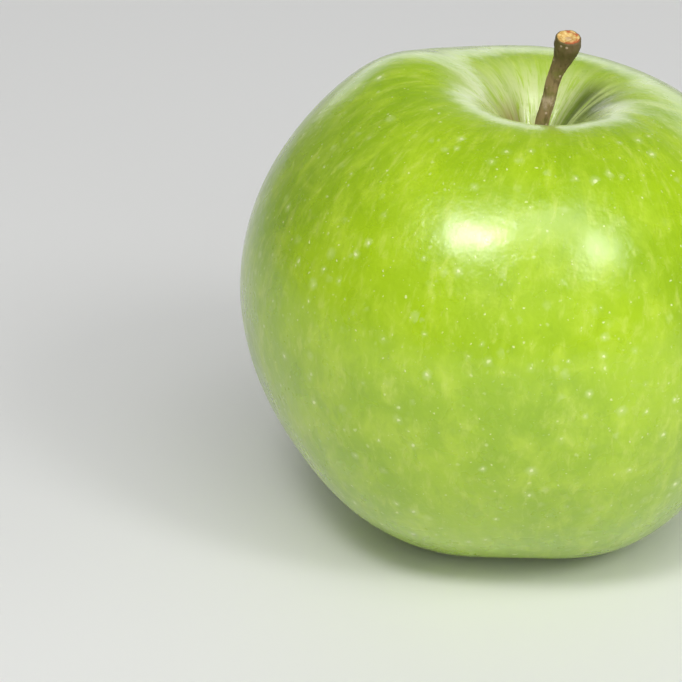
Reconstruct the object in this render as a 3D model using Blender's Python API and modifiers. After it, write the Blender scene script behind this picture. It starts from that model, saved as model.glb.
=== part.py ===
"""A green eating apple with its stem, standing on the five lobes round its eye.

The fruit is one grown piece: a turned outline that is then given five lobes, a leaning core line and
an uneven shoulder, and cut level where it touches the table. The stem stands in a socket at the
bottom of the stem cavity. Underneath, the dried flower sits in the eye: five sepals round a tuft of
withered stamens.

Lengths are in metres and +Z is up. The apple stands on z = 0 and its front is towards -Y.
Run it with: blender --background --python part.py
"""

import math

import bmesh
import bpy
from mathutils import Vector
from mathutils.geometry import interpolate_bezier

# The fruit
WIDEST_RADIUS = 0.0400
WIDEST_HEIGHT = 0.0357
CREST_RADIUS = 0.0165
CREST_HEIGHT = 0.0681
FOOT_RADIUS = 0.0120
CAVITY_DEPTH = 0.0130
BASIN_DEPTH = 0.0070

# How full the outline is between its stations: a handle's length over the span it reaches along
SHOULDER_FULLNESS = 0.54
FLANK_STEEPNESS = 0.42
FLANK_FULLNESS = 0.67
LIP_FULLNESS = 0.50

# What makes it grown and not turned
LOBES = 5
FOOT_LOBE_DROP = 0.0008
FOOT_LOBE_WIDTH = 0.0070
FLANK_LOBE_SHARE = 0.03
BODY_TILT = 0.0023
HUMP_RISE = 0.0033
HUMP_RADIUS = 0.0220
HUMP_WIDTH = 0.0090
HUMP_SPREAD = math.radians(29)
HUMP_DIRECTION = math.radians(173)
CAVITY_OFFSET = 0.0055
CAVITY_FLOOR_PULL = 0.0014
CAVITY_FLOOR_WIDTH = 0.0060
BASIN_OFFSET = 0.0031
FLAT_DEPTH = 0.00035

# The stem
STEM_RADIUS = 0.00093
STEM_LENGTH = 0.0221
STEM_LEAN = 0.0048
STEM_NOD = 0.0022
STEM_ROOT_SHARE = 0.94
SOCKET_DEPTH = 0.0036
SOCKET_LIP = 0.0004

# The dried flower in the eye
EYE_RADIUS = 0.0025
EYE_DEPTH = 0.0044
SEPALS = 5
SEPAL_LENGTH = 0.0042
SEPAL_THICKNESS = 0.00045
SEPAL_SEAT = 0.0008
SEPAL_GAP = 0.0004
SEPAL_CURLS = (1.0, 0.6, 1.3, 0.8, 1.1)
TUFT_TIP_RADIUS = 0.0007
TUFT_DROP = 0.0024

# Clearance between pieces that touch
GAP = 0.0003

# Fineness of the meshes
AROUND = 60
STEM_SIDES_LEVEL = 5
TUFT_STEPS = 20
SEPAL_CELLS = (6, 10)

FRONT = math.radians(-90)
CAVITY_FLOOR = CREST_HEIGHT - CAVITY_DEPTH
SOCKET_RADIUS = STEM_RADIUS + GAP
LOBE_PITCH = 2 * math.pi / LOBES
EYE_WAIST = 0.72 * EYE_RADIUS
EYE_TOP_RADIUS = 0.56 * EYE_RADIUS
STANDING_LIFT = FOOT_LOBE_DROP - FLAT_DEPTH


def clear_scene():
    """Remove every object that is in the scene."""
    for item in list(bpy.data.objects):
        bpy.data.objects.remove(item, do_unlink=True)


def new_collection(name):
    """A collection linked to the scene."""
    collection = bpy.data.collections.new(name)
    bpy.context.scene.collection.children.link(collection)
    return collection


def new_material(name, color, roughness):
    """A Principled material with no metal in it."""
    material = bpy.data.materials.new(name)
    material.use_nodes = True
    shader = material.node_tree.nodes["Principled BSDF"]
    shader.inputs["Base Color"].default_value = (*color, 1.0)
    shader.inputs["Roughness"].default_value = roughness
    shader.inputs["Metallic"].default_value = 0.0
    material.diffuse_color = (*color, 1.0)
    return material


def smooth_step(value):
    """0 below 0, 1 above 1 and an even S between them."""
    value = min(max(value, 0.0), 1.0)
    return value * value * (3.0 - 2.0 * value)


def bell(value, middle, width):
    """1 at the middle, falling to about a third one width away."""
    return math.exp(-(((value - middle) / width) ** 2))


def grown(radius, angle, height):
    """Where a point of the turned outline lies on the grown fruit.

    The lobes swell the lower flank and drop the foot. The body leans, so that its -X side is the
    higher one, and the shoulder has a hump there. The core line runs from the eye to a stem cavity
    that sits towards +X.
    """
    level = height / CREST_HEIGHT
    lobe = math.cos(LOBES * (angle - FRONT - LOBE_PITCH / 2))
    low = smooth_step(1 - level / 0.55)
    upper = smooth_step((level - 0.35) / 0.5)
    shoulder = smooth_step((level - 0.62) / 0.38)

    swollen = radius * (1 + FLANK_LOBE_SHARE * low * lobe)
    core = max(1 - (radius / WIDEST_RADIUS) ** 2, 0.0)
    drift = core * (CAVITY_OFFSET * upper + BASIN_OFFSET * (1 - upper))
    drift -= CAVITY_FLOOR_PULL * upper * bell(radius, 0.0, CAVITY_FLOOR_WIDTH)
    x = swollen * math.cos(angle) + drift
    y = swollen * math.sin(angle)

    lean = -BODY_TILT * x / WIDEST_RADIUS * smooth_step(level / 0.8)
    off_hump = math.remainder(angle - HUMP_DIRECTION, 2 * math.pi)
    hump = HUMP_RISE * shoulder * bell(radius, HUMP_RADIUS, HUMP_WIDTH) * bell(off_hump, 0.0, HUMP_SPREAD)
    foot = FOOT_LOBE_DROP * lobe * low * bell(radius, FOOT_RADIUS + 0.3 * FOOT_LOBE_WIDTH, FOOT_LOBE_WIDTH)
    return Vector((x, y, height + lean + hump - foot))


def bezier_run(start, start_handle, end_handle, end, points):
    """Points along one Bezier stretch of the outline, without its first, as (radius, height)."""
    corners = [Vector((r, h, 0.0)) for r, h in (start, start_handle, end_handle, end)]
    return [(p.x, p.y) for p in interpolate_bezier(*corners, points)[1:]]


def basin_run():
    """The outline from the foot, up into the basin, to the rim of the eye."""
    foot = (FOOT_RADIUS, 0.0)
    rim = (EYE_RADIUS, BASIN_DEPTH)
    inward = (FOOT_RADIUS * (1 - LIP_FULLNESS), 0.0)
    outward = (EYE_RADIUS + 0.6 * EYE_RADIUS, BASIN_DEPTH * 0.86)
    return bezier_run(foot, inward, outward, rim, 10)


def fruit_outline():
    """Half the fruit's outline, from the bottom of the stem socket to the top of the eye."""
    socket_floor = CAVITY_FLOOR - SOCKET_DEPTH
    cavity = (SOCKET_RADIUS + SOCKET_LIP, CAVITY_FLOOR)
    crest = (CREST_RADIUS, CREST_HEIGHT)
    widest = (WIDEST_RADIUS, WIDEST_HEIGHT)
    shoulder = WIDEST_RADIUS - CREST_RADIUS
    flank = WIDEST_RADIUS - FOOT_RADIUS
    eye_top = BASIN_DEPTH + EYE_DEPTH

    line = [(0.0, socket_floor), (SOCKET_RADIUS, socket_floor)]
    line += [(SOCKET_RADIUS, CAVITY_FLOOR - SOCKET_LIP), cavity]
    cavity_out = (cavity[0] + 0.15 * CAVITY_DEPTH, CAVITY_FLOOR + 0.38 * CAVITY_DEPTH)
    line += bezier_run(cavity, cavity_out, (CREST_RADIUS * (1 - LIP_FULLNESS), CREST_HEIGHT), crest, 13)
    crest_out = (CREST_RADIUS + SHOULDER_FULLNESS * shoulder, CREST_HEIGHT)
    foot_out = (FOOT_RADIUS + FLANK_FULLNESS * flank, 0.0)
    reach_down = FLANK_STEEPNESS * WIDEST_HEIGHT
    # Of this length, the upper handle gives the outline one curvature above and below its widest point.
    reach_up = reach_down * math.sqrt((WIDEST_RADIUS - crest_out[0]) / (WIDEST_RADIUS - foot_out[0]))
    line += bezier_run(crest, crest_out, (WIDEST_RADIUS, WIDEST_HEIGHT + reach_up), widest, 12)
    line += bezier_run(widest, (WIDEST_RADIUS, WIDEST_HEIGHT - reach_down), foot_out, (FOOT_RADIUS, 0.0), 14)
    line += basin_run()
    line += [(EYE_WAIST, BASIN_DEPTH + 0.2 * EYE_DEPTH), (EYE_TOP_RADIUS, eye_top), (0.0, eye_top)]
    return line


def turned_mesh(name, outline, steps):
    """The mesh of an outline of (radius, height) points turned a full circle about Z."""
    flat = bpy.data.meshes.new(name + "_outline")
    form = bmesh.new()
    dots = [form.verts.new((radius, 0.0, height)) for radius, height in outline]
    for near, far in zip(dots, dots[1:]):
        form.edges.new((near, far))
    form.to_mesh(flat)
    form.free()
    holder = bpy.data.objects.new(name + "_outline", flat)
    bpy.context.scene.collection.objects.link(holder)
    screw = holder.modifiers.new("turn", "SCREW")
    screw.steps = steps
    screw.render_steps = steps
    screw.use_merge_vertices = True
    screw.merge_threshold = 0.00001
    evaluated = holder.evaluated_get(bpy.context.evaluated_depsgraph_get())
    mesh = bpy.data.meshes.new_from_object(evaluated)
    bpy.data.objects.remove(holder, do_unlink=True)
    mesh.name = name
    return mesh


def place(name, data, material, collection, parent):
    """An object of the apple, hung on its parent and given its material."""
    item = bpy.data.objects.new(name, data)
    item.data.materials.clear()
    item.data.materials.append(material)
    item.parent = parent
    collection.objects.link(item)
    return item


def shade_smooth(mesh):
    """Shade all the faces of a mesh smooth."""
    for face in mesh.polygons:
        face.use_smooth = True


def level_foot(form):
    """Cut the five foot lobes level, which leaves the flats that the apple stands on."""
    everything = form.verts[:] + form.edges[:] + form.faces[:]
    cut = bmesh.ops.bisect_plane(
        form,
        geom=everything,
        dist=1e-7,
        plane_co=(0.0, 0.0, -STANDING_LIFT),
        plane_no=(0.0, 0.0, -1.0),
        clear_outer=True,
    )
    rims = [part for part in cut["geom_cut"] if isinstance(part, bmesh.types.BMEdge)]
    bmesh.ops.holes_fill(form, edges=rims, sides=0)


def add_fruit(collection, parent):
    """The fruit: skin and flesh in one solid, with socket, cavity, basin, eye and flats."""
    mesh = turned_mesh("fruit", fruit_outline(), AROUND)
    form = bmesh.new()
    form.from_mesh(mesh)
    bmesh.ops.remove_doubles(form, verts=form.verts, dist=0.000001)
    for vertex in form.verts:
        x, y, height = vertex.co
        vertex.co = grown(math.hypot(x, y), math.atan2(y, x), height)
    level_foot(form)
    bmesh.ops.recalc_face_normals(form, faces=form.faces)
    form.to_mesh(mesh)
    form.free()
    shade_smooth(mesh)
    return place("fruit", mesh, new_material("green_skin", (0.36, 0.56, 0.03), 0.32), collection, parent)


def stem_stations():
    """The stem's centre line and radii from its root to its scar: (share of the length, lean, nod, radius).

    Lean and nod are shares of how far the scar stands off to +X and towards the front.
    """
    return (
        (0.00, 0.00, 0.00, 0.95),
        (0.18, 0.09, 0.01, 0.97),
        (0.36, 0.25, 0.04, 0.97),
        (0.54, 0.45, 0.14, 1.00),
        (0.68, 0.58, 0.28, 1.12),
        (0.79, 0.76, 0.46, 1.26),
        (0.88, 0.91, 0.66, 1.76),
        (0.95, 0.98, 0.85, 2.10),
        (1.00, 1.00, 1.00, 1.84),
    )


def add_stem(collection, parent):
    """The stem: a bent tube that thickens to the scar, with its root in the fruit's socket."""
    curve = bpy.data.curves.new("stem", "CURVE")
    curve.dimensions = "3D"
    curve.bevel_depth = STEM_RADIUS
    curve.bevel_resolution = STEM_SIDES_LEVEL
    curve.use_fill_caps = True
    curve.resolution_u = 5
    root = grown(0.0, 0.0, CAVITY_FLOOR - SOCKET_DEPTH) + Vector((0.0, 0.0, GAP))
    floor = grown(0.0, 0.0, CAVITY_FLOOR)
    stations = [(root, STEM_ROOT_SHARE)]
    for along, lean, nod, radius in stem_stations():
        offset = Vector((STEM_LEAN * lean, -STEM_NOD * nod, STEM_LENGTH * along))
        stations.append((floor + offset, radius))
    spline = curve.splines.new("BEZIER")
    spline.bezier_points.add(len(stations) - 1)
    for point, (spot, radius) in zip(spline.bezier_points, stations):
        point.co = spot
        point.radius = radius
        point.handle_left_type = "AUTO"
        point.handle_right_type = "AUTO"
    return place("stem", curve, new_material("stem_bark", (0.17, 0.12, 0.045), 0.7), collection, parent)


def basin_height(radius):
    """The height of the turned basin's surface at a radius between the eye's rim and the foot."""
    line = basin_run()
    for (outer, low), (inner, high) in zip(line, line[1:]):
        if inner <= radius <= outer:
            share = (outer - radius) / (outer - inner)
            return low + share * (high - low)
    return BASIN_DEPTH


def sepal_spine(angle, curl):
    """A sepal's middle line from root to tip as (radius, height): it closes over the eye, then curls out."""
    root_radius = EYE_RADIUS + SEPAL_SEAT
    skin = grown(root_radius, angle, basin_height(root_radius)).z
    root = (root_radius, skin - 1.3 * GAP - SEPAL_THICKNESS)
    bend = (root_radius - 0.17 * SEPAL_LENGTH, root[1] - 0.30 * SEPAL_LENGTH)
    waist = (root_radius - 0.66 * SEPAL_LENGTH, root[1] - 0.60 * SEPAL_LENGTH)
    tip = (root_radius - (0.36 - 0.26 * curl) * SEPAL_LENGTH, root[1] - SEPAL_LENGTH)
    return [root] + bezier_run(root, bend, waist, tip, SEPAL_CELLS[1] + 1)


def sepal_mesh(name, angle, curl):
    """One sepal, built along +X about the eye's axis: a pointed leaf bent round the eye."""
    across, along = SEPAL_CELLS
    spine = sepal_spine(angle, curl)
    form = bmesh.new()
    bmesh.ops.create_grid(form, x_segments=across, y_segments=along, size=1.0)
    for vertex in form.verts:
        side = vertex.co.x
        share = (vertex.co.y + 1) / 2
        radius, height = spine[round(share * along)]
        reach = math.pi / SEPALS - SEPAL_GAP / (2 * radius)
        taper = 1 - 0.9 * share**1.7
        turn = side * reach * taper
        cupped = radius + 0.06 * SEPAL_LENGTH * (1 - side * side) * share
        vertex.co = (cupped * math.cos(turn), cupped * math.sin(turn), height)
    bmesh.ops.recalc_face_normals(form, faces=form.faces)
    mesh = bpy.data.meshes.new(name)
    form.to_mesh(mesh)
    form.free()
    shade_smooth(mesh)
    return mesh


def eye_point(height):
    """A point on the eye's axis at a height of the turned outline."""
    return grown(0.0, 0.0, height)


def add_sepals(collection, parent):
    """Five dried sepals round the eye, alike but each with a curl of its own."""
    material = new_material("dry_sepal", (0.16, 0.105, 0.045), 0.85)
    centre = eye_point(BASIN_DEPTH)
    for index in range(SEPALS):
        name = f"sepal_{index + 1}"
        angle = FRONT + LOBE_PITCH / 2 + index * 2 * math.pi / SEPALS
        sepal = place(name, sepal_mesh(name, angle, SEPAL_CURLS[index]), material, collection, parent)
        sepal.location = (centre.x, centre.y, 0.0)
        sepal.rotation_euler = (0.0, 0.0, angle)
        thicken = sepal.modifiers.new("thickness", "SOLIDIFY")
        thicken.thickness = SEPAL_THICKNESS
        thicken.offset = 0.0


def add_stamen_tuft(collection, parent):
    """The withered stamens: a plug that fills the eye and narrows to a tip between the sepals."""
    top = BASIN_DEPTH + EYE_DEPTH - GAP
    waist = EYE_WAIST - GAP
    outline = [
        (0.0, top),
        (EYE_TOP_RADIUS - GAP, top),
        (waist, BASIN_DEPTH + 0.2 * EYE_DEPTH),
        (0.8 * waist, BASIN_DEPTH - 0.25 * TUFT_DROP),
        (TUFT_TIP_RADIUS, BASIN_DEPTH - TUFT_DROP),
        (0.0, BASIN_DEPTH - TUFT_DROP),
    ]
    mesh = turned_mesh("stamen_tuft", outline, TUFT_STEPS)
    shade_smooth(mesh)
    material = new_material("dry_stamen", (0.09, 0.06, 0.03), 0.9)
    tuft = place("stamen_tuft", mesh, material, collection, parent)
    centre = eye_point(BASIN_DEPTH)
    tuft.location = (centre.x, centre.y, 0.0)


def build():
    """Model the whole apple."""
    clear_scene()
    collection = new_collection("apple")
    apple = bpy.data.objects.new("apple", None)
    apple.location = (0.0, 0.0, STANDING_LIFT)
    collection.objects.link(apple)
    add_fruit(collection, apple)
    add_stem(collection, apple)
    add_sepals(collection, apple)
    add_stamen_tuft(collection, apple)


build()
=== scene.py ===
"""The looks of a green eating apple: grown skin, woody stem and the dried flower in its eye.

The framed model gives the size and the places. The fruit, the stem, the sepals and the stamens are
modelled again here at full detail and stand where their framed solids are. Sizes in the classes are
in millimetres of the framed apple, which `FruitForm.scale` turns into metres.
"""

import logging
import math
import random
from dataclasses import dataclass, field
from enum import Enum

import bmesh
import bpy
import numpy as np
from mathutils import Matrix, Vector, noise
from mathutils.geometry import interpolate_bezier


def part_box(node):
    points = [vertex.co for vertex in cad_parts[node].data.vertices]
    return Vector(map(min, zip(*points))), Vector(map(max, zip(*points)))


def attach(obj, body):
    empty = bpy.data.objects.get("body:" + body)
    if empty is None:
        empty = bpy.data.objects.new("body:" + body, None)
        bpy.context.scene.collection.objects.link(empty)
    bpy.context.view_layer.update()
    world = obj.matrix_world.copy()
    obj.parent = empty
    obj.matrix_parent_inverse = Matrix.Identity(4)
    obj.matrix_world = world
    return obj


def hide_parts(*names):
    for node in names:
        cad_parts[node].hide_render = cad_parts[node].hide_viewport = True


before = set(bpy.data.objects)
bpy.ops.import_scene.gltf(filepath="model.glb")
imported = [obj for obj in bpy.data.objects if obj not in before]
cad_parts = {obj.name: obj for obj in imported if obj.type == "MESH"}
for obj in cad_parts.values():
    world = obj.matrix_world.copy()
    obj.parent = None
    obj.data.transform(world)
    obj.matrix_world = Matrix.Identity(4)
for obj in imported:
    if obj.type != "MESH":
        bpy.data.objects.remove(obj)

LOG = logging.getLogger("apple")
Socket = bpy.types.NodeSocket
FULL_TURN = 2 * math.pi
FRONT = math.radians(-90)


class Tone(Enum):
    """The colours of the apple and its table, as linear red, green and blue."""

    GREEN = (0.375, 0.570, 0.002)
    DEEP_GREEN = (0.250, 0.425, 0.002)
    LIGHT_GREEN = (0.530, 0.705, 0.045)
    MOTTLE = (0.640, 0.750, 0.140)
    PALE_SKIN = (0.640, 0.760, 0.300)
    PORE = (0.780, 0.870, 0.400)
    CAVITY_PALE = (0.610, 0.700, 0.290)
    # Dark olive of the stem cavity: partly the skin's own colour, partly painted shade of the hollow.
    CAVITY_OLIVE_AND_SHADE = (0.085, 0.125, 0.010)
    RUSSET = (0.270, 0.180, 0.060)
    EYE_GREEN = (0.330, 0.450, 0.060)
    BARK = (0.310, 0.220, 0.105)
    BARK_OLIVE = (0.200, 0.180, 0.045)
    BARK_RED = (0.520, 0.360, 0.230)
    BARK_DARK = (0.085, 0.060, 0.018)
    BARK_PALE = (0.640, 0.480, 0.360)
    CORK = (0.580, 0.330, 0.080)
    CORK_LIGHT = (0.840, 0.640, 0.260)
    CORK_RED = (0.480, 0.120, 0.040)
    SEPAL = (0.190, 0.130, 0.060)
    SEPAL_PALE = (0.360, 0.300, 0.170)
    SEPAL_GREEN = (0.170, 0.200, 0.060)
    STAMEN = (0.100, 0.065, 0.030)
    STAMEN_TIP = (0.050, 0.030, 0.018)
    TABLE = (0.800, 0.800, 0.785)

    @property
    def rgba(self) -> tuple[float, float, float, float]:
        """The colour with full alpha, as a node socket takes it."""
        return (*self.value, 1.0)


def smooth_step(value: np.ndarray | float) -> np.ndarray:
    """0 below 0, 1 above 1 and an even S between them."""
    value = np.clip(value, 0.0, 1.0)
    return value * value * (3.0 - 2.0 * value)


def bell(value: np.ndarray | float, middle: float, width: float) -> np.ndarray:
    """1 at the middle, falling to about a third one width away."""
    return np.exp(-(((value - middle) / width) ** 2))


class Graph:
    """A small builder of one material's nodes."""

    def __init__(self, name: str) -> None:
        """Start a material with an empty Principled shader."""
        self.material = bpy.data.materials.new(name)
        self.material.use_nodes = True
        self.tree = self.material.node_tree
        self.shader = self.tree.nodes["Principled BSDF"]

    def put(self, socket: Socket, value: object) -> None:
        """Link an output socket to an input, or set the input to a constant.

        Args:
            socket: The input that is fed.
            value: An output socket, a Tone, or a plain number or vector.
        """
        if isinstance(value, Socket):
            self.tree.links.new(value, socket)
        elif isinstance(value, Tone):
            socket.default_value = value.rgba
        else:
            socket.default_value = value

    def node(self, kind: str, **options: object) -> bpy.types.Node:
        """A new node with some of its properties set.

        Args:
            kind: The node's type.
            options: Its properties by name.

        Returns:
            The node.
        """
        item = self.tree.nodes.new(kind)
        for key, value in options.items():
            setattr(item, key, value)
        return item

    def place(self) -> Socket:
        """The object coordinates, in metres."""
        return self.node("ShaderNodeTexCoord").outputs["Object"]

    def attribute(self, name: str) -> Socket:
        """A vector attribute of the mesh."""
        return self.node("ShaderNodeAttribute", attribute_name=name).outputs["Vector"]

    def split(self, vector: Socket) -> list[Socket]:
        """The three components of a vector.

        Args:
            vector: The vector.

        Returns:
            The sockets of x, y and z.
        """
        item = self.node("ShaderNodeSeparateXYZ")
        self.put(item.inputs[0], vector)
        return list(item.outputs)

    def stretch(self, vector: Socket, scale: tuple[float, float, float]) -> Socket:
        """A vector with each component scaled by its own factor.

        Args:
            vector: The vector.
            scale: The three factors.

        Returns:
            The socket of the scaled vector.
        """
        item = self.node("ShaderNodeMapping")
        self.put(item.inputs["Vector"], vector)
        self.put(item.inputs["Scale"], scale)
        return item.outputs[0]

    def noise(
        self, vector: Socket, scale: float, detail: float = 2.0, rough: float = 0.5, warp: float = 0.0
    ) -> Socket:
        """Fractal noise between 0 and 1.

        Args:
            vector: Where it is read.
            scale: How many features fit in one unit of the vector.
            detail: How many finer layers it has.
            rough: How strong the finer layers are.
            warp: How far it folds over itself.

        Returns:
            The socket of the noise value.
        """
        item = self.node("ShaderNodeTexNoise")
        self.put(item.inputs["Vector"], vector)
        self.put(item.inputs["Scale"], scale)
        self.put(item.inputs["Detail"], detail)
        self.put(item.inputs["Roughness"], rough)
        self.put(item.inputs["Distortion"], warp)
        return item.outputs[0]

    def folded(self, vector: Socket, scale: float, reach: float) -> Socket:
        """A vector pushed about by noise, so that what is laid out by it is uneven.

        Args:
            vector: The vector.
            scale: How many features of the noise fit in one unit.
            reach: How far it is pushed at most.

        Returns:
            The socket of the pushed vector.
        """
        field = self.node("ShaderNodeTexNoise")
        self.put(field.inputs["Vector"], vector)
        self.put(field.inputs["Scale"], scale)
        push = self.node("ShaderNodeVectorMath", operation="MULTIPLY_ADD")
        for socket, part in zip(push.inputs, (field.outputs["Color"], (reach, reach, reach), vector)):
            self.put(socket, part)
        return push.outputs[0]

    def cells(self, vector: Socket, scale: float) -> tuple[Socket, Socket]:
        """Many scattered points.

        Args:
            vector: Where they are read.
            scale: How many fit in one unit of the vector.

        Returns:
            The sockets of the distance to the nearest point and of that point's random colour.
        """
        item = self.node("ShaderNodeTexVoronoi")
        self.put(item.inputs["Vector"], vector)
        self.put(item.inputs["Scale"], scale)
        return item.outputs["Distance"], item.outputs["Color"]

    def math(self, kind: str, first: object, second: object = 0.0, third: object = 0.0) -> Socket:
        """One arithmetic step.

        Args:
            kind: The operation's name.
            first: The first value.
            second: The second value, where the operation has one.
            third: The third value, where the operation has one.

        Returns:
            The socket of the result.
        """
        item = self.node("ShaderNodeMath", operation=kind)
        for socket, value in zip(item.inputs, (first, second, third)):
            self.put(socket, value)
        return item.outputs[0]

    def times(self, first: object, second: object) -> Socket:
        """The product of two values."""
        return self.math("MULTIPLY", first, second)

    def fade(self, value: object, low: object, high: object, start: float = 0.0, end: float = 1.0) -> Socket:
        """Turn a value from low to high smoothly into one from start to end, and hold it outside.

        Args:
            value: What is turned.
            low: Where it starts.
            high: Where it ends, which may lie below low.
            start: The result at low.
            end: The result at high.

        Returns:
            The socket of the result.
        """
        item = self.node("ShaderNodeMapRange", interpolation_type="SMOOTHSTEP")
        keys = ("Value", "From Min", "From Max", "To Min", "To Max")
        for key, part in zip(keys, (value, low, high, start, end)):
            self.put(item.inputs[key], part)
        return item.outputs[0]

    def mix(self, share: object, first: object, second: object, blend: str = "MIX") -> Socket:
        """A colour between two colours, or their blend.

        Args:
            share: How much of the second there is, between 0 and 1.
            first: The colour at 0.
            second: The colour at 1.
            blend: How the two are blended.

        Returns:
            The socket of the colour.
        """
        item = self.node("ShaderNodeMix", data_type="RGBA", blend_type=blend)
        self.put(item.inputs["Factor"], share)
        color_a, color_b = item.inputs[6], item.inputs[7]
        self.put(color_a, first)
        self.put(color_b, second)
        return item.outputs[2]

    def bump(self, height: object, depth: float, under: Socket | None = None) -> Socket:
        """A normal tilted by a height between 0 and 1.

        Args:
            height: The height.
            depth: How deep 1 is, in metres.
            under: The normal that it is laid over.

        Returns:
            The socket of the new normal.
        """
        item = self.node("ShaderNodeBump")
        self.put(item.inputs["Strength"], 1.0)
        self.put(item.inputs["Distance"], depth)
        self.put(item.inputs["Height"], height)
        if under is not None:
            self.put(item.inputs["Normal"], under)
        return item.outputs[0]

    def finish(self, color: object, roughness: object, normal: object = None) -> bpy.types.Material:
        """Feed the shader and hand the material over.

        Args:
            color: The base colour.
            roughness: The roughness.
            normal: The bumped normal, if there is one.

        Returns:
            The finished material.
        """
        self.put(self.shader.inputs["Base Color"], color)
        self.put(self.shader.inputs["Roughness"], roughness)
        if normal is not None:
            self.put(self.shader.inputs["Normal"], normal)
        return self.material


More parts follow.
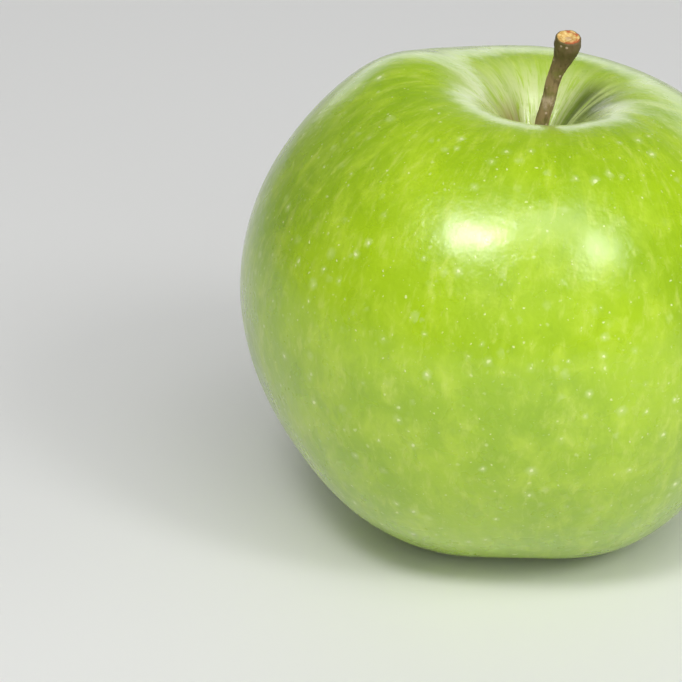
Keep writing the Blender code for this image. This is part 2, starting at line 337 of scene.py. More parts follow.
@dataclass(frozen=True)
class SkinFinish:
    """Waxy green skin with pale pores, meridian streaks and a pale, streaked stem cavity, with dark olive
    that is partly own colour and partly painted shade deep in the cavity and on one side of its wall.
    """

    wide_pores: float = 1 / 0.0021
    fine_pores: float = 1 / 0.0014
    specks: float = 1 / 0.0010
    wide_pore_size: float = 0.165
    small_pore_size: float = 0.150
    wide_halo: float = 2.9
    small_halo: float = 2.0
    halo_strength: float = 0.40
    pore_strength: float = 0.85
    # The direction of the cavity wall's dark olive side, which is partly painted shade, in degrees.
    olive_shade_side: float = 14.0
    russet_side: float = 152.0
    dimple_depth: float = 0.00026
    peel_depth: float = 0.00002
    pore_rise: float = 0.00003
    coat: float = 0.80
    coat_roughness: float = 0.22
    subsurface: float = 0.10
    subsurface_depth: float = 0.0012

    def pores(self, graph: Graph, scale: float, size: float, halo: float) -> tuple[Socket, Socket]:
        """One layer of pores.

        Args:
            graph: The material's nodes.
            scale: How many pores fit in a metre, along each axis.
            size: The radius of the largest pore, as a share of their spacing.
            halo: How many times as wide its pale ring is.

        Returns:
            The sockets of the pores and of their rings, both between 0 and 1.
        """
        distance, color = graph.cells(graph.folded(graph.place(), 1300.0, 0.0007), scale)
        luck, fate, _ = graph.split(color)
        radius = graph.times(graph.math("POWER", luck, 1.6), size)
        radius = graph.math("ADD", radius, 0.3 * size)
        dot = graph.fade(distance, radius, graph.times(radius, 0.35))
        dot = graph.times(dot, graph.fade(fate, 0.15, 0.8, 0.35, 1.0))
        ring = graph.fade(distance, graph.times(radius, halo), graph.times(radius, 0.5))
        ring = graph.times(ring, graph.fade(fate, 0.3, 1.0))
        return dot, ring

    @staticmethod
    def toward(graph: Graph, growth: Socket, degrees: float) -> Socket:
        """1 on the side of the fruit that faces a direction, falling to 0 a few dozen degrees away.

        Args:
            graph: The material's nodes.
            growth: The growth attribute.
            degrees: The direction, counted from the right-hand side towards the back.

        Returns:
            The socket of the share.
        """
        turn = math.radians(degrees)
        dot = graph.node("ShaderNodeVectorMath", operation="DOT_PRODUCT")
        graph.put(dot.inputs[0], growth)
        graph.put(dot.inputs[1], (math.cos(turn), math.sin(turn), 0.0))
        return graph.fade(dot.outputs["Value"], 0.78, 0.97)

    def material(self, form: "FruitForm") -> bpy.types.Material:
        """The skin's material.

        Args:
            form: The fruit's form, which knows where along the skin the crest and the eye are.

        Returns:
            The material.
        """
        graph = Graph("green_skin")
        growth = graph.attribute("growth")
        _, _, along = graph.split(growth)
        crest = form.arc_at_crest / form.widest_radius
        end = form.arc_at_foot / form.widest_radius

        streaks = graph.noise(graph.stretch(growth, (8.0, 8.0, 6.0)), 1.0, 4.0, 0.66, 0.5)
        clouds = graph.noise(graph.place(), 45.0, 3.0, 0.55)
        mottle = graph.noise(graph.stretch(growth, (24.0, 24.0, 11.0)), 1.0, 4.0, 0.65, 0.4)
        color = graph.mix(graph.fade(clouds, 0.35, 0.68, 0.0, 0.75), Tone.GREEN, Tone.DEEP_GREEN)
        color = graph.mix(graph.fade(streaks, 0.42, 0.74, 0.0, 0.52), color, Tone.LIGHT_GREEN)
        color = graph.mix(graph.fade(mottle, 0.50, 0.74, 0.0, 0.38), color, Tone.MOTTLE)
        color = graph.mix(graph.fade(mottle, 0.44, 0.26, 0.0, 0.35), color, Tone.DEEP_GREEN)

        wide, wide_ring = self.pores(graph, self.wide_pores, self.wide_pore_size, self.wide_halo)
        specks, _ = self.pores(graph, self.specks, self.small_pore_size, self.small_halo)
        fine, _ = self.pores(graph, self.fine_pores, self.small_pore_size, self.small_halo)
        on_flank = graph.fade(along, crest - 0.10, crest + 0.12)
        small = graph.math("MAXIMUM", graph.times(fine, 0.9), graph.times(specks, 0.6))
        pores = graph.times(graph.math("MAXIMUM", wide, small), on_flank)
        rings = graph.times(graph.times(wide_ring, self.halo_strength), on_flank)
        color = graph.mix(rings, color, Tone.PALE_SKIN)
        color = graph.mix(graph.times(pores, self.pore_strength), color, Tone.PORE)

        inside = graph.fade(along, crest + 0.03, crest * 0.55)
        radial = graph.noise(graph.stretch(growth, (7.0, 7.0, 1.3)), 1.0, 5.0, 0.66, 0.5)
        pale = graph.times(inside, graph.fade(radial, 0.30, 0.56, 0.15, 1.0))
        color = graph.mix(pale, color, Tone.CAVITY_PALE)
        flecks = graph.noise(graph.stretch(growth, (17.0, 17.0, 9.0)), 1.0, 3.0, 0.6, 0.6)
        dashes = graph.times(graph.fade(flecks, 0.50, 0.66, 0.0, 0.8), inside)
        color = graph.mix(dashes, color, Tone.GREEN)
        # Dark olive deep in the cavity and on one side of its wall: partly the skin's own colour, partly
        # painted shade of the hollow.
        deep = graph.fade(along, crest * 0.42, crest * 0.05)
        olive_and_shade = graph.times(deep, graph.fade(radial, 0.56, 0.40))
        olive_shade_side = self.toward(graph, growth, self.olive_shade_side)
        shaded = graph.times(olive_shade_side, graph.fade(along, crest * 0.95, crest * 0.60))
        shaded = graph.times(shaded, graph.fade(radial, 0.66, 0.44))
        olive_and_shade = graph.math("MAXIMUM", olive_and_shade, shaded)
        color = graph.mix(graph.times(olive_and_shade, 0.85), color, Tone.CAVITY_OLIVE_AND_SHADE)
        rusty = graph.noise(graph.stretch(growth, (5.0, 5.0, 1.2)), 1.0, 4.0, 0.7)
        near_stem = graph.fade(along, crest * 0.60, crest * 0.02)
        russet = graph.times(near_stem, graph.fade(rusty, 0.52, 0.66))
        russet_side = self.toward(graph, growth, self.russet_side)
        rusted = graph.times(russet_side, graph.fade(along, crest * 0.62, crest * 0.35))
        rusted = graph.times(rusted, graph.fade(rusty, 0.36, 0.56))
        russet = graph.math("MAXIMUM", russet, rusted)
        color = graph.mix(graph.times(russet, 0.8), color, Tone.RUSSET)

        basin = graph.fade(along, end - 0.02, end + 0.16)
        color = graph.mix(graph.times(basin, 0.55), color, Tone.EYE_GREEN)
        near_eye = graph.fade(along, end + 0.14, end + 0.30)
        rust = graph.times(near_eye, graph.fade(rusty, 0.40, 0.60))
        color = graph.mix(graph.times(rust, 0.7), color, Tone.RUSSET)

        wax = graph.noise(graph.place(), 140.0, 3.0, 0.6)
        roughness = graph.fade(wax, 0.3, 0.7, 0.24, 0.36)
        peel = graph.noise(graph.place(), 900.0, 2.0, 0.5)
        dimples = graph.noise(graph.place(), 260.0, 3.0, 0.6)
        normal = graph.bump(dimples, self.dimple_depth)
        normal = graph.bump(peel, self.peel_depth, normal)
        normal = graph.bump(pores, self.pore_rise, normal)
        shader = graph.shader.inputs
        shader["Coat Weight"].default_value = self.coat
        shader["Coat Roughness"].default_value = self.coat_roughness
        shader["Subsurface Weight"].default_value = self.subsurface
        shader["Subsurface Radius"].default_value = (1.0, 0.9, 0.25)
        shader["Subsurface Scale"].default_value = self.subsurface_depth
        return graph.finish(color, roughness, normal)


@dataclass(frozen=True)
class BarkFinish:
    """The stem's bark, reddish at the root, olive higher up and dark at the head, with its corky scar."""

    grain_depth: float = 0.00006
    speck_rise: float = 0.00004

    def material(self) -> bpy.types.Material:
        """The stem's material.

        Returns:
            The material.
        """
        graph = Graph("stem_bark")
        reach = graph.attribute("reach")
        along, scar, _ = graph.split(reach)
        grain = graph.noise(graph.stretch(graph.place(), (1.0, 1.0, 0.3)), 1500.0, 4.0, 0.6)
        patches = graph.noise(graph.place(), 420.0, 3.0, 0.6)
        color = graph.mix(graph.fade(patches, 0.40, 0.62), Tone.BARK, Tone.BARK_OLIVE)
        color = graph.mix(graph.times(graph.fade(along, 0.50, 0.25), 0.7), color, Tone.BARK_RED)
        color = graph.mix(graph.fade(along, 0.70, 0.92, 0.0, 0.75), color, Tone.BARK_DARK)
        band = graph.times(graph.fade(along, 0.50, 0.56), graph.fade(along, 0.64, 0.58))
        band = graph.times(band, graph.fade(patches, 0.42, 0.60))
        color = graph.mix(graph.times(band, 0.75), color, Tone.BARK_PALE)
        color = graph.mix(graph.fade(grain, 0.50, 0.68, 0.0, 0.60), color, Tone.BARK_DARK)
        distance, chance = graph.cells(graph.place(), 1100.0)
        chosen = graph.fade(graph.split(chance)[0], 0.62, 0.70)
        speck = graph.times(graph.fade(distance, 0.30, 0.12), chosen)
        color = graph.mix(graph.times(speck, 0.7), color, Tone.BARK_PALE)
        crumbs = graph.noise(graph.place(), 1900.0, 3.0, 0.6)
        cork = graph.mix(graph.fade(crumbs, 0.38, 0.66), Tone.CORK, Tone.CORK_LIGHT)
        blush = graph.noise(graph.place(), 650.0, 2.0, 0.5)
        edge = graph.times(graph.fade(scar, 0.70, 0.30), graph.fade(blush, 0.46, 0.56))
        cork = graph.mix(edge, cork, Tone.CORK_RED)
        cork = graph.mix(graph.fade(scar, 0.82, 0.96, 0.0, 0.6), cork, Tone.BARK_RED)
        color = graph.mix(graph.fade(scar, 0.05, 0.22), color, cork)
        normal = graph.bump(grain, self.grain_depth)
        normal = graph.bump(speck, self.speck_rise, normal)
        return graph.finish(color, graph.fade(grain, 0.3, 0.7, 0.55, 0.80), normal)


@dataclass(frozen=True)
class SepalFinish:
    """Dry, brown, veined sepals, a little green at the root."""

    fibre_depth: float = 0.00012

    def material(self) -> bpy.types.Material:
        """The sepals' material.

        Returns:
            The material.
        """
        graph = Graph("dry_sepal")
        along = graph.split(graph.attribute("reach"))[0]
        fibres = graph.noise(graph.stretch(graph.attribute("reach"), (3.0, 14.0, 1.0)), 1.0, 3.0, 0.6)
        blots = graph.noise(graph.place(), 700.0, 3.0, 0.6)
        color = graph.mix(graph.fade(blots, 0.4, 0.65), Tone.SEPAL, Tone.SEPAL_PALE)
        color = graph.mix(graph.fade(fibres, 0.45, 0.70, 0.0, 0.6), color, Tone.STAMEN)
        color = graph.mix(graph.fade(along, 0.35, 0.05, 0.0, 0.6), color, Tone.SEPAL_GREEN)
        normal = graph.bump(fibres, self.fibre_depth)
        return graph.finish(color, graph.fade(blots, 0.3, 0.7, 0.75, 0.92), normal)


@dataclass(frozen=True)
class StamenFinish:
    """Withered stamens, dark with darker blots."""

    roughness: float = 0.85
    blot_depth: float = 0.00004

    def material(self) -> bpy.types.Material:
        """The stamens' material.

        Returns:
            The material.
        """
        graph = Graph("dry_stamen")
        blots = graph.noise(graph.place(), 1600.0, 3.0, 0.6)
        color = graph.mix(graph.fade(blots, 0.4, 0.6), Tone.STAMEN, Tone.STAMEN_TIP)
        return graph.finish(color, self.roughness, graph.bump(blots, self.blot_depth))


@dataclass(frozen=True)
class TableFinish:
    """The plain, pale, matt table."""

    roughness: float = 0.6

    def material(self) -> bpy.types.Material:
        """The table's material."""
        return Graph("pale_table").finish(Tone.TABLE, self.roughness)


@dataclass
class FruitForm:
    """The grown form of the fruit, in millimetres of the framed apple."""

    widest_radius: float = 40.0
    widest_height: float = 35.7
    crest_radius: float = 15.2
    crest_height: float = 68.1
    foot_radius: float = 12.0
    cavity_depth: float = 13.0
    basin_depth: float = 7.0
    shoulder_fullness: float = 0.54
    flank_steepness: float = 0.42
    flank_fullness: float = 0.67
    lip_fullness: float = 0.50
    lobes: int = 5
    foot_lobe_drop: float = 0.8
    foot_lobe_width: float = 7.0
    flank_lobe_share: float = 0.03
    body_tilt: float = 2.3
    hump_rise: float = 3.1
    hump_radius: float = 22.0
    hump_width: float = 10.5
    hump_spread: float = math.radians(36)
    hump_direction: float = math.radians(173)
    cavity_offset: float = 5.5
    cavity_shift: tuple[float, float] = (-0.7, 1.2)
    cavity_floor_pull: float = 1.4
    cavity_floor_width: float = 6.0
    basin_offset: float = 3.1
    flat_depth: float = 0.35
    socket_radius: float = 0.95
    socket_lip: float = 0.35
    socket_depth: float = 3.4
    eye_radius: float = 2.5
    eye_depth: float = 4.4
    spacing: float = 0.46
    arc_at_crest: float = field(init=False, default=0.0)
    arc_at_foot: float = field(init=False, default=0.0)
    scale: float = field(init=False, default=0.001)

    def __post_init__(self) -> None:
        """Measure once how many metres one of these millimetres is, from the framed fruit's width."""
        low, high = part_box("fruit")
        self.scale = (high[0] - low[0]) / (2 * self.widest_radius)

    @property
    def cavity_floor(self) -> float:
        """The height of the stem cavity's floor."""
        return self.crest_height - self.cavity_depth

    @property
    def lift(self) -> float:
        """How far the turned outline stands above the table."""
        return self.foot_lobe_drop - self.flat_depth

    def grown(self, radius: np.ndarray, angle: np.ndarray, height: np.ndarray) -> np.ndarray:
        """Where points of the turned outline lie on the grown fruit.

        Args:
            radius: How far they are from the turning axis.
            angle: Where they are round it.
            height: How high they are.

        Returns:
            One row of x, y and z in metres for each point.
        """
        radius, angle, height = np.broadcast_arrays(radius, angle, height)
        level = height / self.crest_height
        lobe = np.cos(self.lobes * (angle - FRONT - math.pi / self.lobes))
        low = smooth_step(1 - level / 0.55)
        upper = smooth_step((level - 0.35) / 0.5)
        shoulder = smooth_step((level - 0.62) / 0.38)
        swollen = radius * (1 + self.flank_lobe_share * low * lobe)
        core = np.clip(1 - (radius / self.widest_radius) ** 2, 0.0, None)
        drift = core * (self.cavity_offset * upper + self.basin_offset * (1 - upper))
        drift = drift - self.cavity_floor_pull * upper * bell(radius, 0.0, self.cavity_floor_width)
        x = swollen * np.cos(angle) + drift
        x = x + core * upper * self.cavity_shift[0]
        y = swollen * np.sin(angle) + core * upper * self.cavity_shift[1]
        lean = -self.body_tilt * x / self.widest_radius * smooth_step(level / 0.8)
        off_hump = (angle - self.hump_direction + math.pi) % FULL_TURN - math.pi
        hump = self.hump_rise * shoulder * bell(radius, self.hump_radius, self.hump_width)
        hump = hump * bell(off_hump, 0.0, self.hump_spread)
        foot_middle = self.foot_radius + 0.3 * self.foot_lobe_width
        foot = self.foot_lobe_drop * lobe * low * bell(radius, foot_middle, self.foot_lobe_width)
        z = height + lean + hump - foot + self.lift
        return np.stack((x, y, z), axis=-1) * self.scale

    def core_point(self, height: float) -> Vector:
        """The point of the core line at a height of the turned outline."""
        return Vector(self.grown(0.0, 0.0, height).tolist())

    def stretch_of(self, start: tuple, start_handle: tuple, end_handle: tuple, end: tuple) -> list[tuple]:
        """Points along one Bezier stretch of the outline.

        Args:
            start: Its first point, a radius and a height.
            start_handle: The handle of its first point.
            end_handle: The handle of its last point.
            end: Its last point.

        Returns:
            The points, without the first.
        """
        corners = [Vector((r, h, 0.0)) for r, h in (start, start_handle, end_handle, end)]
        rough = interpolate_bezier(*corners, 24)
        length = sum((b - a).length for a, b in zip(rough, rough[1:]))
        count = max(3, round(length / self.spacing))
        return [(p.x, p.y) for p in interpolate_bezier(*corners, count + 1)[1:]]

    def outline(self) -> list[tuple[float, float, float]]:
        """Half the outline, from the stem socket over the shoulder to the eye.

        Returns:
            The radius, the height and the length along the skin from the cavity's floor, of each point.
        """
        floor = self.cavity_floor
        cavity = (self.socket_radius + self.socket_lip, floor)
        crest = (self.crest_radius, self.crest_height)
        widest = (self.widest_radius, self.widest_height)
        foot = (self.foot_radius, 0.0)
        rim = (self.eye_radius, self.basin_depth)
        keep = 1 - self.lip_fullness
        shoulder_out = (crest[0] + self.shoulder_fullness * (widest[0] - crest[0]), crest[1])
        foot_out = (foot[0] + self.flank_fullness * (widest[0] - foot[0]), 0.0)
        down = self.flank_steepness * self.widest_height
        rise = down * math.sqrt((widest[0] - shoulder_out[0]) / (widest[0] - foot_out[0]))
        cavity_out = (cavity[0] + 0.15 * self.cavity_depth, floor + 0.38 * self.cavity_depth)

        socket = [(0.0, floor - self.socket_depth), (self.socket_radius, floor - self.socket_depth)]
        socket += [(self.socket_radius, floor - self.socket_lip), cavity]
        inside = self.stretch_of(cavity, cavity_out, (crest[0] * keep, crest[1]), crest)
        shoulder = self.stretch_of(crest, shoulder_out, (widest[0], widest[1] + rise), widest)
        flank = self.stretch_of(widest, (widest[0], widest[1] - down), foot_out, foot)
        basin = self.stretch_of(foot, (foot[0] * keep, 0.0), (1.6 * rim[0], 0.86 * rim[1]), rim)
        eye_top = self.basin_depth + self.eye_depth
        eye = [(0.72 * rim[0], rim[1] + 0.2 * self.eye_depth), (0.56 * rim[0], eye_top), (0.0, eye_top)]

        line = socket + inside + shoulder + flank + basin + eye
        lengths = [0.0]
        for near, far in zip(line, line[1:]):
            lengths.append(lengths[-1] + math.dist(near, far))
        start = lengths[len(socket) - 1]
        self.arc_at_crest = lengths[len(socket) + len(inside) - 1] - start
        self.arc_at_foot = lengths[len(socket) + len(inside) + len(shoulder) + len(flank) - 1] - start
        return [(r, h, s - start) for (r, h), s in zip(line, lengths)]


def into_scene(name: str, form: bmesh.types.BMesh, material: bpy.types.Material) -> bpy.types.Object:
    """Make an object of a finished bmesh, at the origin and shaded smooth.

    Args:
        name: The piece's name.
        form: Its mesh, which is freed.
        material: Its material.

    Returns:
        The object, linked to the scene.
    """
    mesh = bpy.data.meshes.new(name)
    form.to_mesh(mesh)
    form.free()
    mesh.materials.append(material)
    mesh.polygons.foreach_set("use_smooth", [True] * len(mesh.polygons))
    piece = bpy.data.objects.new(name, mesh)
    bpy.context.scene.collection.objects.link(piece)
    return piece


@dataclass
class Fruit:
    """The fruit: a turned outline, grown into its form and given a living surface."""

    form: FruitForm
    around: int = 320
    swell: float = 0.16
    ripple: float = 0.045
    rib: float = 0.16
    wrinkle: float = 0.10
    pucker: float = 0.22

    def relief(self, angle: float, arc: float, height: float) -> float:
        """How far the skin stands proud of the grown form at a point.

        Args:
            angle: Where the point is round the fruit.
            arc: How far along the skin it is from the cavity's floor, in millimetres.
            height: How high the turned outline is there, in millimetres.

        Returns:
            The rise in millimetres.
        """
        form = self.form
        unit = form.widest_radius
        round_x, round_y, run = math.cos(angle), math.sin(angle), arc / unit
        clear_of_foot = float(smooth_step(height / 12.0))
        clear_of_stem = float(smooth_step(arc / 6.0))
        calm = clear_of_foot * clear_of_stem
        rise = self.swell * noise.noise(Vector((round_x, round_y, run)) * 2.3) * calm
        rise += self.ripple * noise.noise(Vector((round_x * 6.5, round_y * 6.5, run * 4.5))) * calm
        on_shoulder = float(bell(arc, form.arc_at_crest + 16.0, 16.0))
        rise += self.rib * math.cos(form.lobes * (angle - FRONT - math.pi / form.lobes)) * on_shoulder
        in_cavity = float(smooth_step(arc / 1.5) * smooth_step(1 - arc / (0.85 * form.arc_at_crest)))
        rise += self.wrinkle * noise.noise(Vector((round_x * 7.0, round_y * 7.0, run * 2.0))) * in_cavity
        past_foot = arc - form.arc_at_foot
        before_eye = smooth_step((form.arc_at_foot + 12.6 - arc) / 1.5)
        in_basin = float(smooth_step((past_foot - 4.0) / 6.0) * before_eye)
        rise += self.pucker * noise.noise(Vector((round_x * 3.2, round_y * 3.2, run))) * in_basin
        return rise

    def build(self) -> bpy.types.Object:
        """Turn, grow and dress the fruit.

        Returns:
            The piece.
        """
        form = self.form
        outline = form.outline()
        body = bmesh.new()
        arc_layer = body.verts.layers.float.new("arc")
        growth_layer = body.verts.layers.float_vector.new("growth")
        dots = []
        for radius, height, arc in outline:
            dot = body.verts.new((radius, 0.0, height))
            dot[arc_layer] = arc
            dots.append(dot)
        lines = [body.edges.new(pair) for pair in zip(dots, dots[1:])]
        bmesh.ops.spin(
            body,
            geom=dots + lines,
            cent=(0.0, 0.0, 0.0),
            axis=(0.0, 0.0, 1.0),
            dvec=(0.0, 0.0, 0.0),
            angle=FULL_TURN,
            steps=self.around,
            use_merge=True,
        )
        bmesh.ops.remove_doubles(body, verts=body.verts, dist=0.0001)
        turned = np.array([dot.co for dot in body.verts])
        radii = np.hypot(turned[:, 0], turned[:, 1])
        angles = np.arctan2(turned[:, 1], turned[:, 0])
        for dot, place in zip(body.verts, form.grown(radii, angles, turned[:, 2])):
            dot.co = place
        bmesh.ops.recalc_face_normals(body, faces=body.faces)
        body.normal_update()
        for dot, angle, height in zip(body.verts, angles.tolist(), turned[:, 2].tolist()):
            arc = dot[arc_layer]
            dot[growth_layer] = (math.cos(angle), math.sin(angle), arc / form.widest_radius)
            dot.co += dot.normal * self.relief(angle, arc, height) * form.scale
        self.level(body)
        body.verts.layers.float.remove(arc_layer)
        skin = into_scene("apple_fruit", body, SkinFinish().material(form))
        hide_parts("fruit")
        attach(skin, "root")
        return skin

    def level(self, body: bmesh.types.BMesh) -> None:
        """Cut the foot lobes level with the table.

        Args:
            body: The fruit's mesh.
        """
        cut = bmesh.ops.bisect_plane(
            body,
            geom=body.verts[:] + body.edges[:] + body.faces[:],
            dist=1e-7,
            plane_co=(0.0, 0.0, 0.0),
            plane_no=(0.0, 0.0, -1.0),
            clear_outer=True,
        )
        rims = [part for part in cut["geom_cut"] if isinstance(part, bmesh.types.BMEdge)]
        bmesh.ops.holes_fill(body, edges=rims, sides=0)
        bmesh.ops.recalc_face_normals(body, faces=body.faces)


@dataclass
class Stem:
    """The woody stem: a bent, grooved shaft that thickens to a head with a corky scar."""

    form: FruitForm
    radius: float = 0.93
    length: float = 22.1
    lean: float = 4.8
    nod: float = 2.2
    root_depth: float = 3.3
    sides: int = 56
    rings: int = 210
    groove_depth: float = 0.12
    knob_height: float = 0.075
    knot_height: float = 0.22
    bark_start: float = 0.12

    def stations(self) -> list[tuple[float, float, float, float]]:
        """The stations of the stem, from root to head.

        Returns:
            The share of the length, of the lean and of the nod, and the radius share, of each.
        """
        return [
            (0.00, 0.00, 0.00, 0.95),
            (0.18, 0.09, 0.01, 0.97),
            (0.36, 0.25, 0.04, 0.97),
            (0.54, 0.45, 0.14, 1.10),
            (0.68, 0.58, 0.28, 1.08),
            (0.79, 0.76, 0.46, 1.26),
            (0.88, 0.91, 0.66, 1.76),
            (0.95, 0.98, 0.85, 2.10),
            (1.00, 1.00, 1.00, 1.98),
        ]

    def spine(self) -> list[tuple[Vector, float]]:
        """Evenly spaced points up the stem, in metres, and the radius at each, in millimetres.

        Returns:
            The point and the radius of each ring of the shaft.
        """
        floor = self.form.core_point(self.form.cavity_floor)
        unit = self.form.scale
        root = Vector((0.0, 0.0, -self.root_depth * unit))
        knots = [(floor + root, 0.94 * self.radius)]
        for along, lean, nod, radius in self.stations():
            offset = Vector((self.lean * lean, -self.nod * nod, self.length * along)) * unit
            knots.append((floor + offset, radius * self.radius))
        places = np.array([[*spot, radius] for spot, radius in knots])
        steps = np.linalg.norm(np.diff(places[:, :3], axis=0), axis=1)
        run = np.concatenate(([0.0], np.cumsum(steps)))
        slopes = np.gradient(places, run, axis=0)
        fine = np.linspace(0.0, run[-1], self.rings)
        cell = np.clip(np.searchsorted(run, fine, side="right") - 1, 0, len(run) - 2)
        width = run[cell + 1] - run[cell]
        share = ((fine - run[cell]) / width)[:, None]
        width = width[:, None]
        start, end = places[cell], places[cell + 1]
        away, onto = slopes[cell] * width, slopes[cell + 1] * width
        square, cube = share**2, share**3
        curve = (2 * cube - 3 * square + 1) * start + (cube - 2 * square + share) * away
        curve += (3 * square - 2 * cube) * end + (cube - square) * onto
        return [(Vector(row[:3].tolist()), float(row[3])) for row in curve]

    def head(self) -> list[tuple[float, float, float]]:
        """The rings over the scar, from its rim to its middle.

        Returns:
            The radius share, the rise in millimetres and the share inside the scar, of each.
        """
        return [
            (1.00, 0.02, 0.00),
            (0.975, 0.10, 0.02),
            (0.93, 0.17, 0.06),
            (0.87, 0.19, 0.14),
            (0.80, 0.15, 0.26),
            (0.71, 0.13, 0.38),
            (0.62, 0.16, 0.50),
            (0.53, 0.15, 0.60),
            (0.44, 0.06, 0.70),
            (0.35, -0.04, 0.80),
            (0.26, -0.08, 0.88),
            (0.17, -0.04, 0.94),
            (0.08, 0.00, 0.98),
        ]

    def bark(self, angle: float, along: float) -> float:
        """How far the bark stands proud of the plain shaft.

        Args:
            angle: Where the point is round the stem.
            along: The share of the stem's length.

        Returns:
            The rise in millimetres.
        """
        around = Vector((math.cos(angle), math.sin(angle), 0.0))
        grooves = noise.noise(around * 2.6 + Vector((0.0, 0.0, along * 5.0)))
        knobs = noise.noise(around * 4.0 + Vector((3.0, 1.0, along * 26.0)))
        knots = max(noise.noise(around * 1.2 + Vector((8.0, 5.0, along * 9.0))), 0.0)
        stout = float(smooth_step((along - self.bark_start) / 0.10))
        return stout * (self.groove_depth * grooves + self.knob_height * knobs + self.knot_height * knots)

    def scar_relief(self, angle: float, inside: float) -> float:
        """The corky scar's unevenness in millimetres."""
        spot = Vector((math.cos(angle) * (1 - inside), math.sin(angle) * (1 - inside), 0.4))
        return 0.20 * noise.noise(spot * 3.3) + 0.10 * noise.noise(spot * 8.0)

    def build(self) -> bpy.types.Object:
        """Model and dress the stem.

        Returns:
            The piece.
        """
        unit = self.form.scale
        spine = self.spine()
        body = bmesh.new()
        reach = body.verts.layers.float_vector.new("reach")
        loop = bmesh.ops.create_circle(body, cap_ends=True, segments=self.sides, radius=unit)["verts"]
        edges = [edge for edge in body.edges if all(dot in loop for dot in edge.verts)]
        angles = [math.atan2(dot.co.y, dot.co.x) for dot in loop]
        previous = Vector((0.0, 0.0, 1.0))
        basis = Matrix.Identity(3)
        last = len(spine) - 1
        for index, (spot, radius) in enumerate(spine):
            ahead = spine[min(index + 1, last)][0] - spine[max(index - 1, 0)][0]
            tangent = ahead.normalized()
            basis = previous.rotation_difference(tangent).to_matrix() @ basis
            previous = tangent
            if index:
                loop, edges = self.extrude(body, edges, loop)
            along = index / last
            for dot, angle in zip(loop, angles):
                ring = Vector((math.cos(angle), math.sin(angle), 0.0)) * (radius + self.bark(angle, along))
                dot.co = spot + basis @ ring * unit
                dot[reach] = (along, 0.0, 0.0)
        top, radius = spine[-1]
        for share, rise, inside in self.head():
            loop, edges = self.extrude(body, edges, loop)
            for dot, angle in zip(loop, angles):
                edge = radius + self.bark(angle, 1.0)
                ring = Vector((math.cos(angle), math.sin(angle), 0.0)) * edge * share
                ring.z = rise + self.scar_relief(angle, inside) * float(smooth_step(inside / 0.3))
                dot.co = top + basis @ ring * unit
                dot[reach] = (1.0, inside, 0.0)
        bmesh.ops.edgeloop_fill(body, edges=edges)
        bmesh.ops.recalc_face_normals(body, faces=body.faces)
        wood = into_scene("apple_stem", body, BarkFinish().material())
        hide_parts("stem")
        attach(wood, "root")
        return wood

    @staticmethod
    def extrude(body: bmesh.types.BMesh, edges: list, loop: list) -> tuple[list, list]:
        """Extrude a ring of edges and keep the order of its points.

        Args:
            body: The mesh.
            edges: The ring's edges.
            loop: The ring's points in order.

        Returns:
            The new ring's points, in the same order, and its edges.
        """
        grown = bmesh.ops.extrude_edge_only(body, edges=edges)["geom"]
        fresh = [part for part in grown if isinstance(part, bmesh.types.BMVert)]
        old = set(loop)
        pairs = {}
        for dot in fresh:
            for edge in dot.link_edges:
                other = edge.other_vert(dot)
                if other in old:
                    pairs[other] = dot
        new_loop = [pairs[dot] for dot in loop]
        new = set(new_loop)
        rim = [part for part in grown if isinstance(part, bmesh.types.BMEdge) and set(part.verts) <= new]
        return new_loop, rim


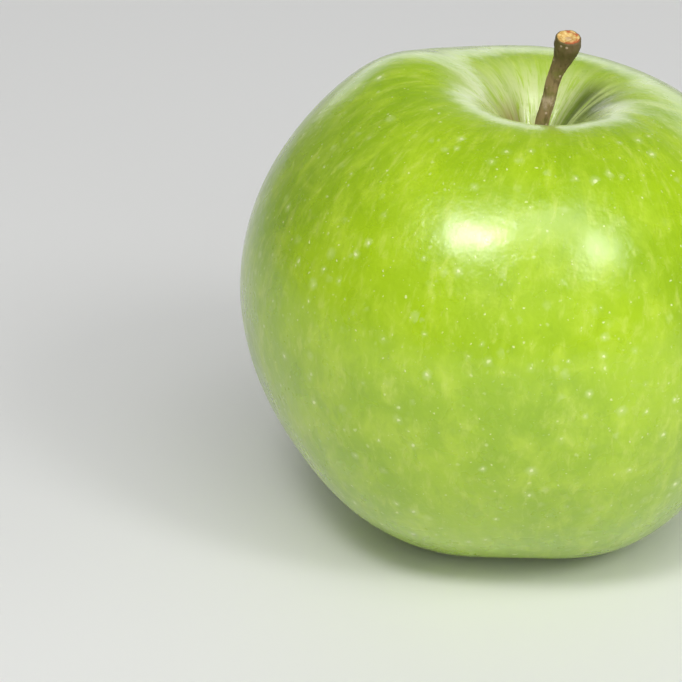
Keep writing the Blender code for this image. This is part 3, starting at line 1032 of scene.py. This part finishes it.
@dataclass
class DriedFlower:
    """The dried flower in the eye: five sepals and a tuft of stamens."""

    form: FruitForm
    sepal_count: int = 5
    sepal_length: float = 4.6
    sepal_thickness: float = 0.30
    seat: float = 0.55
    curls: tuple[float, ...] = (1.0, 0.6, 1.3, 0.8, 1.1)
    cells: tuple[int, int] = (16, 30)
    stamen_count: int = 18
    stamen_radius: float = 0.11
    stamen_sides: int = 8
    seed: int = 11

    def spine(self, angle: float, curl: float) -> list[tuple[float, float]]:
        """A sepal's middle line: it closes over the eye, then curls out.

        Args:
            angle: Not used.
            curl: How far its tip curls out.

        Returns:
            The radius and height, in millimetres, of each row of the sepal.
        """
        form, size = self.form, self.sepal_length
        root_radius = form.eye_radius + self.seat
        skin = form.basin_depth - 0.5 * self.seat + form.lift
        root = (root_radius, skin - 0.5 * self.sepal_thickness - 0.25)
        bend = (root_radius - 0.15 * size, root[1] - 0.30 * size)
        waist = (root_radius - 0.60 * size, root[1] - 0.60 * size)
        tip = (root_radius - (0.34 - 0.26 * curl) * size, root[1] - 0.92 * size)
        corners = [Vector((r, h, 0.0)) for r, h in (root, bend, waist, tip)]
        return [(p.x, p.y) for p in interpolate_bezier(*corners, self.cells[1] + 1)]

    def sepal(self, index: int, material: bpy.types.Material) -> bpy.types.Object:
        """One sepal, in its place round the eye.

        Args:
            index: Which of the sepals it is, from 0.
            material: The sepals' material.

        Returns:
            The piece.
        """
        form = self.form
        across, along = self.cells
        angle = FRONT + math.pi / form.lobes + index * FULL_TURN / self.sepal_count
        spine = self.spine(angle, self.curls[index])
        centre = form.core_point(form.basin_depth)
        leaf = bmesh.new()
        reach = leaf.verts.layers.float_vector.new("reach")
        bmesh.ops.create_grid(leaf, x_segments=across, y_segments=along, size=1.0)
        for dot in leaf.verts:
            side, share = dot.co.x, (dot.co.y + 1) / 2
            radius, height = spine[round(share * along)]
            fray = 0.06 * noise.noise(Vector((side * 2.0, share * 9.0, index * 5.3)))
            room = math.pi / self.sepal_count - 0.12 / radius
            taper = 1 - 0.93 * share**1.7
            turn = angle + side * (room + fray * share) * taper
            vein = -0.10 * math.exp(-((side / 0.16) ** 2)) * (1 - share)
            crumple = 0.22 * noise.noise(Vector((side * 1.6, share * 3.5, index * 3.1)))
            cup = 0.35 * (1 - side * side) * share
            out = radius + cup + vein + crumple * share
            drop = height + 0.18 * crumple
            place = Vector((out * math.cos(turn), out * math.sin(turn), drop)) * form.scale
            dot.co = place + Vector((centre.x, centre.y, 0.0))
            dot[reach] = (share, side, index)
        bmesh.ops.recalc_face_normals(leaf, faces=leaf.faces)
        bmesh.ops.solidify(leaf, geom=leaf.faces[:], thickness=self.sepal_thickness * form.scale)
        bmesh.ops.recalc_face_normals(leaf, faces=leaf.faces)
        piece = into_scene(f"apple_sepal_{index + 1}", leaf, material)
        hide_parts(f"sepal_{index + 1}")
        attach(piece, "root")
        return piece

    def thread(self, tuft: bmesh.types.BMesh, luck: random.Random, index: int) -> None:
        """One stamen: a thin, bent thread from inside the eye, with an anther at its end.

        Args:
            tuft: The mesh that it is added to.
            luck: The seeded source of its differences.
            index: Which stamen it is.
        """
        form, unit = self.form, self.form.scale
        centre = form.core_point(form.basin_depth)
        base = Vector((centre.x, centre.y, 0.0))
        golden = math.pi * (3 - math.sqrt(5))
        turn = index * golden + luck.uniform(-0.2, 0.2)
        spread = math.sqrt((index + 0.5) / self.stamen_count)
        top = form.basin_depth + form.lift + 0.72 * form.eye_depth
        start = Vector((spread * 1.05 * math.cos(turn), spread * 1.05 * math.sin(turn), top))
        drop = luck.uniform(3.6, 5.0)
        swing = luck.uniform(-0.35, 0.35)
        out = spread * luck.uniform(0.75, 1.1)
        end = Vector((out * math.cos(turn + swing), out * math.sin(turn + swing), top - drop))
        bow = Vector((luck.uniform(-0.15, 0.15), luck.uniform(-0.15, 0.15), -drop * 0.5))
        path = interpolate_bezier(start, start + Vector((0, 0, -drop * 0.4)), start + bow, end, 9)
        shares = [1.0, 0.95, 0.9, 0.85, 0.8, 0.8, 1.5, 2.1, 0.7]
        loop = bmesh.ops.create_circle(tuft, cap_ends=True, segments=self.stamen_sides, radius=unit)["verts"]
        ring = set(loop)
        edges = [edge for edge in {e for dot in loop for e in dot.link_edges} if set(edge.verts) <= ring]
        angles = [math.atan2(dot.co.y, dot.co.x) for dot in loop]
        for step, (spot, share) in enumerate(zip(path, shares)):
            if step:
                loop, edges = Stem.extrude(tuft, edges, loop)
            for dot, angle in zip(loop, angles):
                around = Vector((math.cos(angle), math.sin(angle), 0.0)) * self.stamen_radius * share
                dot.co = base + (spot + around) * unit
        bmesh.ops.edgeloop_fill(tuft, edges=edges)

    def cushion(self, tuft: bmesh.types.BMesh) -> None:
        """The withered cushion that the stamens stand on and that closes the eye.

        Args:
            tuft: The mesh that it is added to.
        """
        form, unit = self.form, self.form.scale
        centre = form.core_point(form.basin_depth)
        low = form.basin_depth + form.lift + 0.60 * form.eye_depth
        high = form.basin_depth + form.lift + 0.92 * form.eye_depth
        radius = 0.54 * form.eye_radius
        place = Matrix.Translation((centre.x, centre.y, (low + high) / 2 * unit))
        bmesh.ops.create_cone(
            tuft,
            cap_ends=True,
            segments=28,
            radius1=radius * 1.05 * unit,
            radius2=radius * unit,
            depth=(high - low) * unit,
            matrix=place,
        )

    def stamens(self) -> bpy.types.Object:
        """The tuft of withered stamens, all in one piece.

        Returns:
            The piece.
        """
        tuft = bmesh.new()
        self.cushion(tuft)
        luck = random.Random(self.seed)
        for index in range(self.stamen_count):
            self.thread(tuft, luck, index)
        bmesh.ops.recalc_face_normals(tuft, faces=tuft.faces)
        piece = into_scene("apple_stamens", tuft, StamenFinish().material())
        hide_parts("stamen_tuft")
        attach(piece, "root")
        return piece

    def build(self) -> list[bpy.types.Object]:
        """Model and dress the whole flower."""
        material = SepalFinish().material()
        pieces = [self.sepal(index, material) for index in range(self.sepal_count)]
        return pieces + [self.stamens()]


@dataclass(frozen=True)
class Panel:
    """A soft light panel, placed by its direction from the apple."""

    name: str
    azimuth: float
    elevation: float
    distance: float
    width: float
    height: float
    radiance: float
    mirrored: bool = True
    tint: tuple[float, float, float] = (1.0, 1.0, 1.0)

    def build(self, target: Vector) -> bpy.types.Object:
        """Hang the panel and aim it.

        Args:
            target: Where it points.

        Returns:
            The light's object.
        """
        light = bpy.data.lights.new(self.name, "AREA")
        light.shape = "RECTANGLE"
        light.size = self.width
        light.size_y = self.height
        light.color = self.tint
        light.energy = self.radiance * math.pi * self.width * self.height
        lamp = bpy.data.objects.new(self.name, light)
        turn, rise = math.radians(self.azimuth), math.radians(self.elevation)
        away = Vector((math.sin(turn) * math.cos(rise), -math.cos(turn) * math.cos(rise), math.sin(rise)))
        lamp.location = target + away * self.distance
        lamp.rotation_euler = (-away).to_track_quat("-Z", "Y").to_euler()
        lamp.visible_camera = False
        lamp.visible_glossy = self.mirrored
        bpy.context.scene.collection.objects.link(lamp)
        return lamp


@dataclass
class Studio:
    """The pale table, the soft light and the camera."""

    table_radius: float = 1.9
    world_strength: float = 0.15
    backdrop_strength: float = 0.62
    world_tint: tuple[float, float, float] = (0.95, 0.97, 1.0)
    elevation: float = 24.0
    distance: float = 0.650
    view_width: float = 0.1020
    aside: float = 0.02478
    below: float = 0.00868
    aim_height: float = 0.03745
    sensor: float = 36.0
    panels: tuple[Panel, ...] = (
        Panel("key_panel", -22.0, 55.5, 1.2, 0.34, 0.24, 17.0),
        Panel("side_panel", 47.0, 40.0, 1.2, 0.24, 0.32, 11.5),
        Panel("top_panel", 12.0, 63.0, 1.3, 1.10, 0.40, 2.8),
        Panel("back_panel", 178.0, 12.0, 1.6, 2.0, 0.6, 1.2),
        Panel("front_fill", 12.0, 34.0, 1.5, 1.6, 1.2, 1.60, False),
        Panel("right_fill", 75.0, 16.0, 1.5, 1.0, 1.0, 1.2, False),
    )

    def table(self) -> bpy.types.Object:
        """The plain table.

        Returns:
            The table's object.
        """
        top = bmesh.new()
        bmesh.ops.create_circle(top, cap_ends=True, segments=96, radius=self.table_radius)
        surface = into_scene("table", top, TableFinish().material())
        return surface

    def light(self, target: Vector) -> None:
        """The room's even light and the panels.

        Args:
            target: Where the panels point.
        """
        world = bpy.data.worlds.new("room")
        world.use_nodes = True
        nodes, links = world.node_tree.nodes, world.node_tree.links
        glow = nodes["Background"].inputs
        glow["Color"].default_value = (*self.world_tint, 1.0)
        seen = nodes.new("ShaderNodeMapRange")
        seen.inputs["To Min"].default_value = self.world_strength
        seen.inputs["To Max"].default_value = self.backdrop_strength
        links.new(nodes.new("ShaderNodeLightPath").outputs["Is Camera Ray"], seen.inputs["Value"])
        links.new(seen.outputs[0], glow["Strength"])
        bpy.context.scene.world = world
        for panel in self.panels:
            panel.build(target)

    def camera(self, middle: Vector) -> bpy.types.Object:
        """The camera, which looks down a little from the front.

        Args:
            middle: The middle of the apple.

        Returns:
            The camera's object.
        """
        rise = math.radians(self.elevation)
        away = Vector((0.0, -math.cos(rise), math.sin(rise)))
        upright = Vector((0.0, math.sin(rise), math.cos(rise)))
        eye = bpy.data.cameras.new("camera")
        eye.sensor_width = self.sensor
        eye.lens = self.sensor * self.distance / self.view_width
        camera = bpy.data.objects.new("camera", eye)
        camera.location = middle + away * self.distance
        aim = middle - Vector((self.aside, 0.0, 0.0)) - upright * self.below
        camera.rotation_euler = (aim - camera.location).to_track_quat("-Z", "Y").to_euler()
        bpy.context.scene.collection.objects.link(camera)
        bpy.context.scene.camera = camera
        return camera

    def build(self) -> None:
        """Set up table, light and camera."""
        low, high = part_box("fruit")
        middle = Vector(((low[0] + high[0]) / 2, (low[1] + high[1]) / 2, low[2] + self.aim_height))
        self.table()
        self.light(middle)
        self.camera(middle)
        bpy.context.scene.view_settings.view_transform = "Standard"


def main() -> None:
    """Build the apple and its studio, piece by piece."""
    logging.basicConfig(level=logging.INFO, format="%(name)s: %(message)s")
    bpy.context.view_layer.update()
    form = FruitForm()
    pieces = [Fruit(form).build(), Stem(form).build(), *DriedFlower(form).build()]
    for piece in pieces:
        LOG.info("%s: %d faces", piece.name, len(piece.data.polygons))
    Studio().build()


if __name__ == "__main__":
    main()
